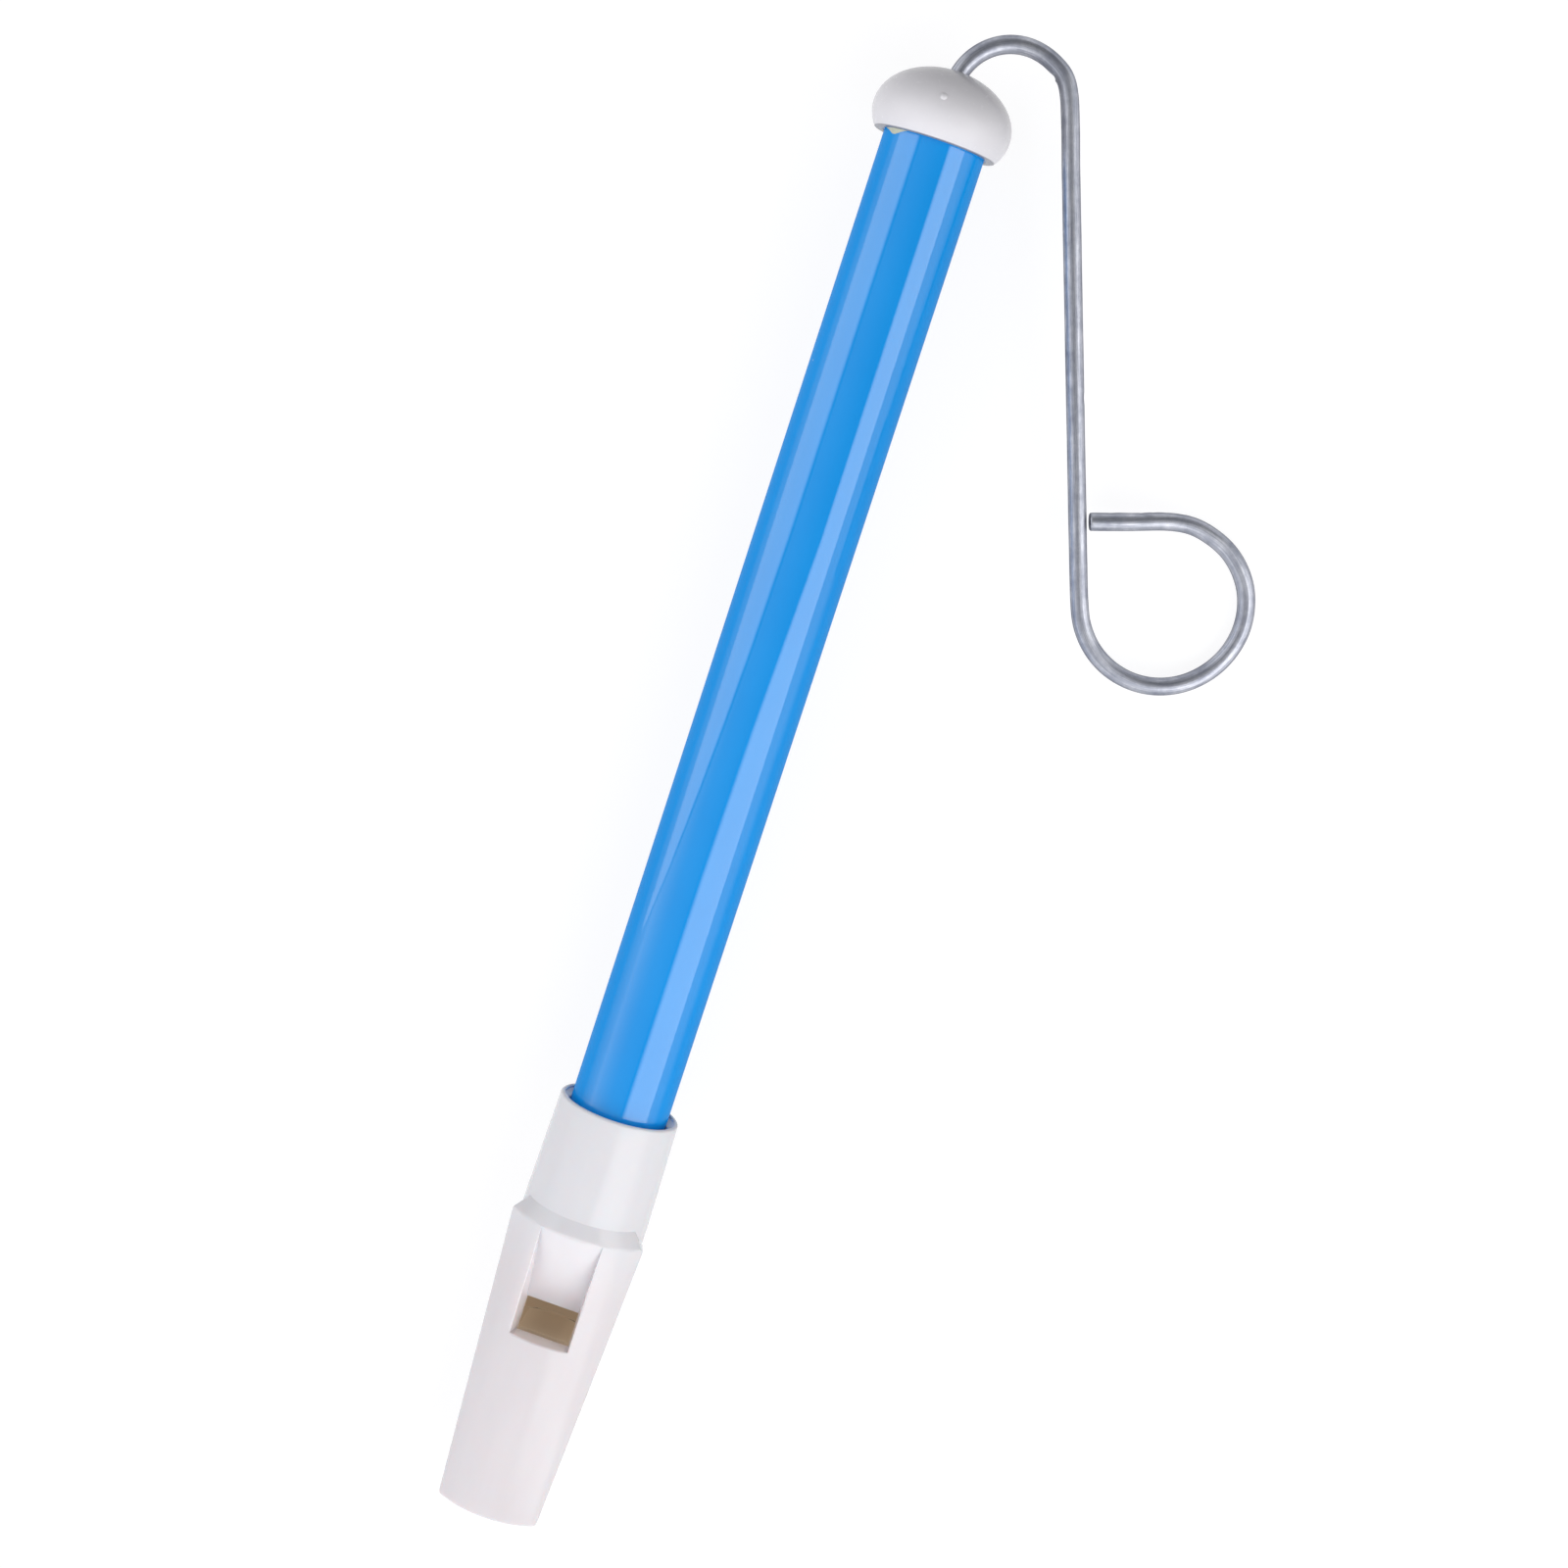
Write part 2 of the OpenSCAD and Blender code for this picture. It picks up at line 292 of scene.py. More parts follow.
def painted_light_masks(tree, place, at):
    """Where the mouthpiece's painted tan shade and painted glow go, its hollow inside and the thin lip over
    its windway, as 0 or 1.

    Inside is taken to be nearer the axis than the bore's wall, below the sounding edge and past the tip's
    rounding. The flat back's outside is as near within 19 mm of the tip, so it is taken for inside too.
    The lip is the window's end face above the sounding edge, between the window's side walls."""
    margin = 0.1
    from_axis = add(tree, "ShaderNodeVectorMath", {0: place, 1: (0, 1, 1)}, operation="MULTIPLY")
    reach = add(tree, "ShaderNodeVectorMath", {0: from_axis}, operation="LENGTH")
    near = add(tree, "ShaderNodeMath", {0: reach, 1: BORE_R + margin}, operation="LESS_THAN")
    under = add(tree, "ShaderNodeMath", {0: at["Z"], 1: EDGE_H - margin}, operation="LESS_THAN")
    past = add(tree, "ShaderNodeMath", {0: at["X"], 1: TIP_ROUND}, operation="GREATER_THAN")
    inside = add(tree, "ShaderNodeMath", {0: near, 1: under}, operation="MULTIPLY")
    inside = add(tree, "ShaderNodeMath", {0: inside, 1: past}, operation="MULTIPLY")
    lip = add(tree, "ShaderNodeMath", {0: at["X"], 1: WINDOW_X, 2: 0.06}, operation="COMPARE")
    between = add(tree, "ShaderNodeMath", {0: at["Y"], 1: 0.0, 2: HALF_W - margin}, operation="COMPARE")
    lip = add(tree, "ShaderNodeMath", {0: lip, 1: between}, operation="MULTIPLY")
    above = add(tree, "ShaderNodeMath", {0: 1.0, 1: under}, operation="SUBTRACT")
    return inside, add(tree, "ShaderNodeMath", {0: lip, 1: above}, operation="MULTIPLY")


def moulded_white_polystyrene():
    """Glossy injection-moulded polystyrene: clean white with faint flow clouds. Its hollow inside is painted
    a tan shade with a painted glow for warm light through the walls, and the thin lip a fainter painted glow."""
    made, tree, shader, place = material("moulded_white_polystyrene")
    at = add(tree, "ShaderNodeSeparateXYZ", {0: place}).outputs
    flow = add(tree, "ShaderNodeMapping", {0: place, "Scale": (0.25, 1.0, 1.0)})
    # The solid beak looks a little warmer than the thin sleeve
    solid = add(tree, "ShaderNodeMapRange", {0: at["X"], 1: SHOULDER_TOP, 2: BEAK_L - 8.0})
    dark = add(tree, "ShaderNodeMix", {"Factor": solid, 6: linear("#E5E4E8"), 7: linear("#E1DBDE")},
               data_type="RGBA")
    light = add(tree, "ShaderNodeMix", {"Factor": solid, 6: linear("#EDECF0"), 7: linear("#EBE6E9")},
                data_type="RGBA")
    clouds, shade = mottled(tree, flow, 5.0, dark, light, Detail=3.0)
    inside, lip = painted_light_masks(tree, place, at)
    # Painted shade and light: the hollow inside is coloured tan and glows, and the thin lip glows faintly,
    # for light through the walls
    colour = add(tree, "ShaderNodeMix", {"Factor": inside, 6: shade, 7: linear("#B5A087")}, data_type="RGBA")
    painted_inside_glow = 0.23
    painted_lip_glow = 0.13
    glow = add(tree, "ShaderNodeMath", {0: lip, 1: painted_lip_glow}, operation="MULTIPLY")
    glow = add(tree, "ShaderNodeMath", {0: inside, 1: painted_inside_glow, 2: glow}, operation="MULTIPLY_ADD")
    gloss = add(tree, "ShaderNodeMapRange", {0: clouds, 3: 0.14, 4: 0.2})
    ripple = add(tree, "ShaderNodeBump", {"Strength": 0.2, "Distance": 0.02 * MM, "Height": clouds})
    plug(tree, shader, {"Base Color": colour, "Roughness": gloss, "Normal": ripple, "IOR": 1.45,
                        "Emission Strength": glow, "Emission Color": linear("#C8B49A"),
                        "Subsurface Weight": 0.4, "Subsurface Radius": (1.0, 0.6, 0.5),
                        "Subsurface Scale": 1.0 * MM})
    return made


def moulded_white_polyethylene():
    """Softer, waxier moulded polyethylene: a satin skin, and painted shade on the rim's flat face."""
    made, tree, shader, place = material("moulded_white_polyethylene")
    shade = mottled(tree, place, 4.0, linear("#E2E0E4"), linear("#EBE9ED"), Detail=3.0)[1]
    # Painted shade: the rim's flat face against the tube is darkened for the shadow line where cap and tube
    # meet
    at = add(tree, "ShaderNodeSeparateXYZ", {0: place}).outputs
    painted_rim_shade = add(tree, "ShaderNodeMapRange", {0: at["X"], 1: CAP_X + 0.02, 2: CAP_X + 0.16, 3: 1.0, 4: 0.0})
    colour = add(tree, "ShaderNodeMix", {"Factor": painted_rim_shade, 6: shade, 7: linear("#85848A")}, data_type="RGBA")
    grain = add(tree, "ShaderNodeTexNoise", {"Vector": place, "Scale": 1 / 0.5, "Detail": 2.0})
    gloss = add(tree, "ShaderNodeMapRange", {0: grain, 3: 0.22, 4: 0.3})
    skin = add(tree, "ShaderNodeBump", {"Strength": 0.1, "Distance": 0.01 * MM, "Height": grain})
    plug(tree, shader, {"Base Color": colour, "Roughness": gloss, "Normal": skin, "IOR": 1.3})
    return made


def lacquered_blue_aluminium():
    """Aluminium tube sprayed blue under a clear gloss lacquer: even colour, sharp reflections,
    a hint of orange peel and a few dust specks caught in the lacquer."""
    made, tree, shader, place = material("lacquered_blue_aluminium")
    paint = mottled(tree, place, 9.0, linear("#0896EC"), linear("#109DF2"), Detail=2.0)[1]
    # One cell in five, of 3.2 mm each, holds a speck
    dots = add(tree, "ShaderNodeTexVoronoi", {"Vector": place, "Scale": 1 / 3.2, "Randomness": 1.0}).outputs
    chosen = add(tree, "ShaderNodeSeparateColor", {0: dots["Color"]})
    rare = add(tree, "ShaderNodeMath", {0: chosen, 1: 0.8}, operation="GREATER_THAN")
    small = add(tree, "ShaderNodeMapRange", {0: dots["Distance"], 1: 0.02, 2: 0.05, 3: 1.0, 4: 0.0})
    speck = add(tree, "ShaderNodeMath", {0: rare, 1: small}, operation="MULTIPLY")
    colour = add(tree, "ShaderNodeMix", {"Factor": speck, 6: paint, 7: linear("#9CCBF2")}, data_type="RGBA")
    peel = add(tree, "ShaderNodeTexNoise", {"Vector": place, "Scale": 1 / 1.6, "Detail": 1.0})
    rise = add(tree, "ShaderNodeMath", {0: speck, 1: 4.0, 2: peel}, operation="MULTIPLY_ADD")
    bump = add(tree, "ShaderNodeBump", {"Strength": 0.15, "Distance": 0.01 * MM, "Height": rise})
    # The thin lacquer mirrors less of what it meets at a low angle than a solid gloss would
    steep = add(tree, "ShaderNodeLayerWeight", {"Blend": 0.5}).outputs
    weight = add(tree, "ShaderNodeMapRange", {0: steep["Facing"], 1: 0.25, 2: 0.42, 3: 1.0, 4: 0.18})
    plug(tree, shader, {"Base Color": colour, "Normal": bump, "Coat Normal": bump, "Roughness": 0.5,
                        "Specular IOR Level": 0.0, "Coat Weight": weight, "Coat Roughness": 0.04,
                        "Coat IOR": 1.72})
    return made


def drawn_zinc_plated_wire():
    """Steel wire, drawn and zinc plated: dull silver with fine streaks along its length,
    darker rubbed patches and small die marks. Its UV map in millimetres leads the streaks."""
    made, tree, shader, place = material("drawn_zinc_plated_wire")
    along = add(tree, "ShaderNodeUVMap", uv_map="wire")
    drawn = add(tree, "ShaderNodeMapping", {0: along, "Scale": (0.12, 3.0, 1.0)})
    streaks = add(tree, "ShaderNodeTexNoise", {"Vector": drawn, "Scale": 1.6, "Detail": 5.0})
    stains = add(tree, "ShaderNodeTexNoise",
                 {"Vector": place, "Scale": 1 / 3.0, "Detail": 6.0, "Roughness": 0.7})
    mixed = add(tree, "ShaderNodeMath", {0: streaks, 1: stains}, operation="MULTIPLY")
    tone = add(tree, "ShaderNodeMapRange", {0: mixed, 1: 0.12, 2: 0.42})
    colour = add(tree, "ShaderNodeMix", {"Factor": tone, 6: linear("#8B8F9D"), 7: linear("#CFD1D8")},
                 data_type="RGBA")
    gloss = add(tree, "ShaderNodeMapRange", {0: mixed, 1: 0.1, 2: 0.5, 3: 0.5, 4: 0.37})
    bump = add(tree, "ShaderNodeBump", {"Strength": 0.5, "Distance": 0.02 * MM, "Height": mixed})
    # The dark tint is zinc's grey skin, which takes the glare off the lowest angles
    plug(tree, shader, {"Base Color": colour, "Roughness": gloss, "Normal": bump, "Metallic": 1.0,
                        "Specular Tint": linear("#14151A")})
    return made


def moulded_tan_block():
    """The plug in the beak: moulded polystyrene, satin, painted a tan shade with a painted glow for light
    through the beak's walls.
    """
    made, tree, shader, place = material("moulded_tan_block")
    clouds, colour = mottled(tree, place, 2.5, linear("#B09A80"), linear("#BAA68E"), Detail=3.0)
    gloss = add(tree, "ShaderNodeMapRange", {0: clouds, 3: 0.4, 4: 0.55})
    # Painted glow, brighter beside the walls than below, for the light that comes through them
    at = add(tree, "ShaderNodeSeparateXYZ", {0: place}).outputs
    aside = add(tree, "ShaderNodeMath", {0: at["Y"]}, operation="ABSOLUTE")
    glow = add(tree, "ShaderNodeMapRange", {0: aside, 1: 1.0, 2: HALF_W, 3: 0.21, 4: 0.28},
               interpolation_type="SMOOTHSTEP")
    plug(tree, shader, {"Base Color": colour, "Roughness": gloss, "Emission Strength": glow,
                        "Emission Color": linear("#C8B49A")})
    return made


def pressed_felt(name, dark, light):
    """Pressed wool felt: matted fibres about 0.2 mm apart, no gloss and a soft sheen."""
    made, tree, shader, place = material(name)
    fibres, colour = mottled(tree, place, 0.2, linear(dark), linear(light), Detail=6.0, Distortion=1.5)
    bump = add(tree, "ShaderNodeBump", {"Strength": 0.8, "Distance": 0.1 * MM, "Height": fibres})
    plug(tree, shader, {"Base Color": colour, "Normal": bump, "Roughness": 0.95, "Sheen Weight": 0.4})
    return made


def turned_acetal():
    """Acetal turned on a lathe: ivory white, with tool rings. They are drawn wider apart than real
    ones, which are about 0.25 mm apart, so that they show."""
    made, tree, shader, place = material("turned_acetal")
    # A Wave texture of scale 1 has a band every pi / 10
    spacing = np.pi / 2
    bands = {"Vector": place, "Scale": np.pi / 10 / spacing, "Distortion": 0.3}
    turned = add(tree, "ShaderNodeTexWave", bands, bands_direction="X").outputs
    colour = mottled(tree, place, 2.0, linear("#E9E6DE"), linear("#F3F1EA"))[1]
    bump = add(tree, "ShaderNodeBump", {"Strength": 0.3, "Distance": 0.02 * MM, "Height": turned["Fac"]})
    plug(tree, shader, {"Base Color": colour, "Normal": bump, "Roughness": 0.4})
    return made


def stamped_spring_steel():
    """Spring steel, blanked and tumbled: mid grey, evenly dull, with fine scratches."""
    made, tree, shader, place = material("stamped_spring_steel")
    scratches, colour = mottled(tree, place, 0.3, linear("#7E828A"), linear("#A4A8B0"), Detail=6.0,
                                Distortion=2.0)
    gloss = add(tree, "ShaderNodeMapRange", {0: scratches, 3: 0.3, 4: 0.5})
    plug(tree, shader, {"Base Color": colour, "Roughness": gloss, "Metallic": 1.0})
    return made


def set_contact_cement():
    """Contact cement that squeezed out and set: pale yellow-green, glassy and a little cloudy."""
    made, tree, shader, place = material("set_contact_cement")
    clouds, colour = mottled(tree, place, 0.8, linear("#B4BBA8"), linear("#DADBC4"), Detail=3.0)
    gloss = add(tree, "ShaderNodeMapRange", {0: clouds, 3: 0.15, 4: 0.3})
    plug(tree, shader, {"Base Color": colour, "Roughness": gloss, "IOR": 1.49})
    return made


# Mouthpiece: cells of the half outline, from the middle of the front round to the middle of the back
N_FRONT = 7
N_ARCH = 14
N_CORNER = 12
N_FLANK = 2
N_BACK = 28
N_FLAT = 2
N_WALL = N_ARCH + N_CORNER + N_FLANK
# The column where the ears begin, and the crease between the round back and the flat one
EAR_COLUMN = N_FRONT + N_ARCH
CREASE = N_FRONT + N_WALL + N_BACK
# The flank is straight between the normals of these two angles
FLANK_TOP = rad(94.6)
FLANK_LOW = rad(95.7)
# Times that a height is put back into the lean of a wall, which is far more than it takes to settle
SETTLE = 20


def away(angle):
    """Y and Z of a step of one unit at an angle from straight up."""
    return np.stack([np.sin(angle), np.cos(angle)], -1)


def top_at(x):
    """Height of the middle of the beak's front: a straight line from the rounded tip to the shoulder."""
    return lerp(TIP_FRONT, BODY_FRONT, (x - TIP_ROUND) / (BEAK_L - TIP_ROUND))


def wall_y(z):
    """Half the distance between the window's leaning side walls at a height."""
    return HALF_W + DRAFT * (z - EDGE_H)


def support(theta, half, top, belly):
    """The point of a beak section whose outward normal stands at theta from straight up, as Y and Z.

    The section is the hull of a front arc, a corner round and a round back. Up to the angle at which
    the arc meets the corner the point lies on the arc, then on the corner round, and it is on the back
    as soon as the back reaches further along the normal."""
    normal = away(theta)
    mid_z = top - FRONT_R
    corner_y = half - CORNER_R
    reach = np.arcsin(corner_y / (FRONT_R - CORNER_R))
    corner = np.array([corner_y, mid_z + (FRONT_R - CORNER_R) * np.cos(reach)])
    on_arc = FRONT_R * normal + [0, mid_z]
    on_corner = CORNER_R * normal + corner
    behind = (on_corner * normal).sum(-1) < belly
    point = np.where(behind[..., None], belly * normal, on_corner)
    return np.where((theta < reach)[..., None], on_arc, point)


def border_angle(x):
    """Angle on the front arc where the window's leaning side wall comes out.

    The wall stands at half the window's width plus its draft times the height, so the angle is found
    by putting the arc's own height back into that sum a few times."""
    mid_z = top_at(x) - FRONT_R
    angle = np.full(np.shape(x), rad(22))
    for _ in range(SETTLE):
        angle = np.arcsin(wall_y(mid_z + FRONT_R * np.cos(angle)) / FRONT_R)
    return angle


def front_shares(border):
    """Shares of half the window's width at the front columns, which stand at even angles up to its border."""
    return np.sin(border * np.arange(N_FRONT + 1) / N_FRONT) / np.sin(border)


def back_height(x):
    """Height of the flat back: it falls in a straight line until it leaves the round back."""
    low = lerp(TIP_BELLY, BODY_BACK, BACK_L / BEAK_L)
    return -TIP_BACK - (low - TIP_BACK) / BACK_L * x


def outline(x, inset=0.0):
    """Y and Z of every column of the half outline at each x, all set in by an inset.

    Columns stand at chosen normals: the first run ends at the window's wall, the last ones
    cross the flat back in a straight line."""
    x = np.atleast_1d(np.asarray(x, float))
    inset = np.broadcast_to(inset, x.shape)[:, None]
    share = np.clip((x - TIP_ROUND) / (BEAK_L - TIP_ROUND), 0, 1)
    border = border_angle(np.maximum(x, TIP_ROUND))
    belly = lerp(TIP_BELLY, BODY_BACK, share)[:, None] - inset
    crease = np.arccos(np.clip(back_height(x)[:, None] / belly, -1, 1))[:, 0]
    stops = [0 * x, border, 0 * x + EAR_START, 0 * x + FLANK_TOP, 0 * x + FLANK_LOW, crease]
    cells = [N_FRONT, N_ARCH, N_CORNER, 1, N_BACK]
    theta = np.concatenate([lerp(a[:, None], b[:, None], np.arange(n) / n)
                            for a, b, n in zip(stops[:-1], stops[1:], cells)] + [crease[:, None]], 1)
    tip = support(theta, TIP_HALF, TIP_FRONT, TIP_BELLY)
    shoulder = support(theta, BODY_SIDE, BODY_FRONT, BODY_BACK)
    points = lerp(tip, shoulder, share[:, None, None]) - away(theta) * inset[..., None]
    flank = EAR_COLUMN + N_CORNER
    middle = points[:, flank:flank + 2].mean(1, keepdims=True)
    across = lerp(points[:, -1:], points[:, -1:] * [0, 1], np.arange(1, N_FLAT + 1)[None, :, None] / N_FLAT)
    return np.concatenate([points[:, :flank + 1], middle, points[:, flank + 1:], across], 1)


def round_angles():
    """Angle from straight up of every column, where the half outline is a circle."""
    stops = [0, float(border_angle(BEAK_L)), EAR_START, FLANK_TOP, FLANK_LOW, np.pi]
    cells = [N_FRONT, N_ARCH, N_CORNER, N_FLANK, N_BACK]
    return np.concatenate([lerp(a, b, np.arange(n) / n) for a, b, n in zip(stops[:-1], stops[1:], cells)]
                          + [[np.pi] * (N_FLAT + 1)])


def with_x(x, yz):
    """Points from an x for each row and Y and Z for each row and column."""
    x = np.broadcast_to(np.asarray(x, float).reshape(-1, 1), yz.shape[:2])
    return np.concatenate([x[..., None], yz], -1)


def ear_gap(points):
    """How far points lie beyond the leaning plane that cuts the bevel's sides."""
    out = points[..., 1] * np.cos(EAR_LEAN) - points[..., 2] * np.sin(EAR_LEAN)
    return out - EAR_Y - EAR_SLOPE * (SHOULDER_TOP - points[..., 0])


def cut_share(start, end):
    """The share of the way from start to end at which a straight line meets the ear's plane, at most one."""
    a, b = ear_gap(start), ear_gap(end)
    share = np.where(b > 1e-9, -a / np.where(b > a, b - a, 1.0), 1.0)
    return np.clip(share, 0, 1)


def rings(x, r, angles):
    """Rows of points round the axis: one row for each x and radius, one column for each angle."""
    x, r = np.asarray(x, float)[:, None], np.asarray(r, float)[:, None]
    return np.stack([x + 0 * angles, r * np.sin(angles), r * np.cos(angles)], -1)


def arc_points(x, r, radius, start, turn, cells):
    """X and radius of the points of a profile's arc, from a start angle through a turn."""
    a = start + turn * np.arange(cells + 1) / cells
    return x + radius * np.cos(a), r + radius * np.sin(a)


def ramp_height(x, y):
    """Height of the ramp: straight lines from the sounding edge up to the shoulder's front arc."""
    top = BODY_FRONT - FRONT_R + np.sqrt(FRONT_R ** 2 - y ** 2)
    return lerp(EDGE_H, top, (x - EDGE_X) / (BEAK_L - EDGE_X))


def beak_rows():
    """Rows of the half outline: over the tip's edge, on to the window, along it, up to the end of the
    chamber's flat roof, and on to the shoulder.

    The tip's edge is a quarter round, so its rows are set in by what is left of the round."""
    turn = np.linspace(0, np.pi / 2, 6)
    tip_x = TIP_ROUND * (1 - np.cos(turn))
    tip = with_x(tip_x, outline(tip_x, TIP_ROUND * (1 - np.sin(turn))))
    stretches = [(TIP_ROUND, WINDOW_X, 17), (WINDOW_X, EDGE_X, 6), (EDGE_X, FLAT_X, 7), (FLAT_X, BEAK_L, 7)]
    return [tip] + [with_x(x, outline(x)) for x in (np.linspace(*stretch) for stretch in stretches)]


def bevel_rows(start, beside, angles):
    """Rows from the end of the chamber's flat roof to the shoulder, over the bevel, across the ledge at
    its foot and up the first part of the sleeve.

    Columns are straight lines from the start to the shoulder and on to the sleeve's foot. The leaning
    plane of the ears cuts them short at the sides, where the bevel has no width."""
    shoulder = beside[-1]
    foot = rings([SHOULDER_TOP], [FOOT_R], angles)[0]
    beak_end = lerp(start, shoulder, cut_share(start, shoulder)[:, None])
    high_ramp = lerp(start, beak_end, np.linspace(0, 1, len(beside))[:, None, None])
    # The window's border column bends a little, so the columns up to the ears are worked out at each x
    high_ramp[:, :EAR_COLUMN] = beside[:, :EAR_COLUMN]
    bevel_share = np.where(cut_share(start, shoulder) < 1, 0.0, cut_share(shoulder, foot))
    bevel_end = lerp(beak_end, foot, bevel_share[:, None])
    band = lerp(beak_end, bevel_end, np.linspace(0, 1, 4)[:, None, None])
    plane_x = SHOULDER_TOP - (FOOT_R * np.sin(angles - EAR_LEAN) - EAR_Y) / EAR_SLOPE
    seat = rings([0], [FOOT_R], angles)[0] + np.minimum(SHOULDER_TOP, plane_x)[:, None] * [1, 0, 0]
    sleeve_low = lerp(seat, foot, np.linspace(0, 1, 3)[:, None, None])
    return high_ramp, band, np.stack([bevel_end, seat]), sleeve_low


def sleeve_rows(angles):
    """Rings of the sleeve's start, and then of all that is turned: the rest of the sleeve, its rim, the
    lead-in, the socket, and the bore back to the chamber's flat roof."""
    start_top = SHOULDER_TOP + SLEEVE_START_L
    start_r = lerp(FOOT_R, RIM_R, SLEEVE_START_L / (SLEEVE_TOP - SHOULDER_TOP))
    start = rings(np.linspace(SHOULDER_TOP, start_top, 3), np.linspace(FOOT_R, start_r, 3), angles)
    rim_x, rim_r = arc_points(SLEEVE_TOP - RIM_ROUND, RIM_R - RIM_ROUND, RIM_ROUND, np.pi / 2, -np.pi / 2, 6)
    # The rim turns over into the lead-in with half its round
    turn_r = RIM_ROUND / 2
    in_x, in_r = arc_points(SLEEVE_TOP - turn_r, SEAT_R + LEAD_IN + turn_r, turn_r, 0, -np.pi * 3 / 4, 4)
    x = np.concatenate([np.linspace(start_top, SLEEVE_TOP - RIM_ROUND, 9)[:-1], rim_x, in_x,
                        np.linspace(SLEEVE_TOP - LEAD_IN, TUBE_X0, 5), np.linspace(TUBE_X0, FLAT_X, 4)])
    r = np.concatenate([lerp(start_r, RIM_R, np.linspace(0, 1, 9))[:-1], rim_r, in_r,
                        [SEAT_R] * 5, [BORE_R] * 4])
    return start, rings(x, r, angles)


def chamber_outline(angles):
    """Y and Z of the chamber's half section: a flat roof, then the bore round to the middle of the back.

    It has the same columns as the outside. The roof's first ones meet the window's corners."""
    flat_cells = 5
    roof_y = wall_y(CHAMBER_TOP)
    flat_y = np.sqrt(BORE_R ** 2 - CHAMBER_TOP ** 2)
    arc_cells = N_ARCH - flat_cells
    arc = lerp(np.arccos(CHAMBER_TOP / BORE_R), EAR_START, np.arange(arc_cells) / arc_cells)
    roof = np.concatenate([roof_y * front_shares(border_angle(EDGE_X))[:-1],
                           lerp(roof_y, flat_y, np.arange(flat_cells) / flat_cells)])
    return np.concatenate([np.stack([roof, np.full(len(roof), CHAMBER_TOP)], -1),
                           BORE_R * away(np.concatenate([arc, angles[EAR_COLUMN:]]))])


def window_wall(border):
    """The window's leaning side wall: columns from its border down past the height of the windway's roof
    and of the sounding edge to the chamber's roof."""
    levels = np.array([ROOF_H, EDGE_H, CHAMBER_TOP])
    low = with_x(border[:, 0], np.stack([wall_y(levels), levels], -1)[None] + np.zeros((len(border), 1, 1)))
    upper = lerp(border[:, None], low[:, :1], np.linspace(0, 1, 3)[None, :, None])
    return np.concatenate([upper, low[:, 1:]], 1)


def ramp_and_wall(border):
    """The ramp above the sounding edge, and its leaning side wall, which share the line between them.

    The line stands where the wall has leaned in as far as the ramp is low, so it is found by putting the
    ramp's height back into the wall's lean a few times."""
    x = border[:, 0]
    half = np.full(len(x), HALF_W)
    for _ in range(SETTLE):
        half = wall_y(ramp_height(x, half))
    line = np.stack([x, half, ramp_height(x, half)], -1)
    # The wall's levels at the window are those of the window's own wall
    roof_share = (border[0, 2] - ROOF_H) / (border[0, 2] - EDGE_H)
    shares = np.array([0, roof_share / 2, roof_share, 1])
    wall = lerp(border[:, None], line[:, None], shares[None, :, None])
    y = half[:, None] * front_shares(border_angle(x)[:, None])
    return np.stack([x[:, None] + 0 * y, y, ramp_height(x[:, None], y)], -1), wall


def channel_rows():
    """The windway and the channel behind it: columns over the roof, down the side and across the floor,
    in rows from the window to the tip.

    The side is upright at the tip, and takes up the lean of the window's wall over its last stretch. The
    floor's columns are even at the window, and at the tip most of them gather beside the wall, under the
    tip's own crowded columns."""
    x = np.linspace(WINDOW_X, 0, 8)
    way = x / WINDOW_X
    roof = lerp(ROOF_TIP, ROOF_H, way)[:, None]
    floor = lerp(FLOOR_TIP, FLOOR_WINDOW, way)[:, None]
    height = ROOF_H - FLOOR_WINDOW
    shares = np.concatenate([[0, (ROOF_H - EDGE_H) / height],
                             lerp((ROOF_H - CHAMBER_TOP) / height, 1, np.arange(N_WALL + 1) / N_WALL)])
    z = lerp(roof, floor, shares)
    take_up = np.clip((x - WINDOW_X + LEAN_RUN) / LEAN_RUN, 0, 1)[:, None]
    y = HALF_W + take_up * DRAFT * (np.maximum(z, CHAMBER_TOP) - EDGE_H)
    even = np.arange(1, N_BACK + 1) / N_BACK
    gathered = np.concatenate([0.15 * np.arange(1, N_BACK - 1) / (N_BACK - 2), [0.55, 1.0]])
    floor_y = y[:, -1:] * (1 - lerp(gathered, even, way[:, None]))
    roof_y = y[:, :1] * front_shares(border_angle(WINDOW_X))[:-1]
    z = np.concatenate([np.repeat(roof, N_FRONT, 1), z, np.repeat(floor, N_BACK, 1)], 1)
    return with_x(x, np.stack([np.concatenate([roof_y, y, floor_y], 1), z], -1))


def rounded_lines(tip, near, window, border, line, band, channel):
    """The lines along which the mouthpiece is rounded, with a share of the bevel's width at each point."""
    window_share = 0.5
    crease_share = 0.8
    mouth_share = 0.3
    # The ramp's border softens as the wall grows from 0.2 to 1.7 mm deep
    depth = np.clip((border[:, 2] - line[:, 2] - 0.2) / 1.5, 0, 1)
    # The crease of the back runs out between 26 and 14 mm from the tip
    creased = np.concatenate([tip[-1:, CREASE], near[:, CREASE], window[:, CREASE]])
    fade = np.clip((26 - creased[:, 0]) / 12, 0, 1)
    # The bevel's edge is sharp at the ear and at the window's wall
    column = np.arange(EAR_COLUMN + 1)
    to_ear = np.clip((EAR_COLUMN - 1 - column) / 6, 0, 1)
    to_wall = np.clip((np.abs(column - N_FRONT) - 1) / 5, 0, 1)
    return [(window[0, :N_FRONT + 1], window_share), (window[:, N_FRONT], window_share),
            (border, window_share * depth), (creased, crease_share * fade),
            (band[0, :EAR_COLUMN + 1], to_ear * to_wall), (channel[-1, :N_FRONT + 12], mouth_share)]


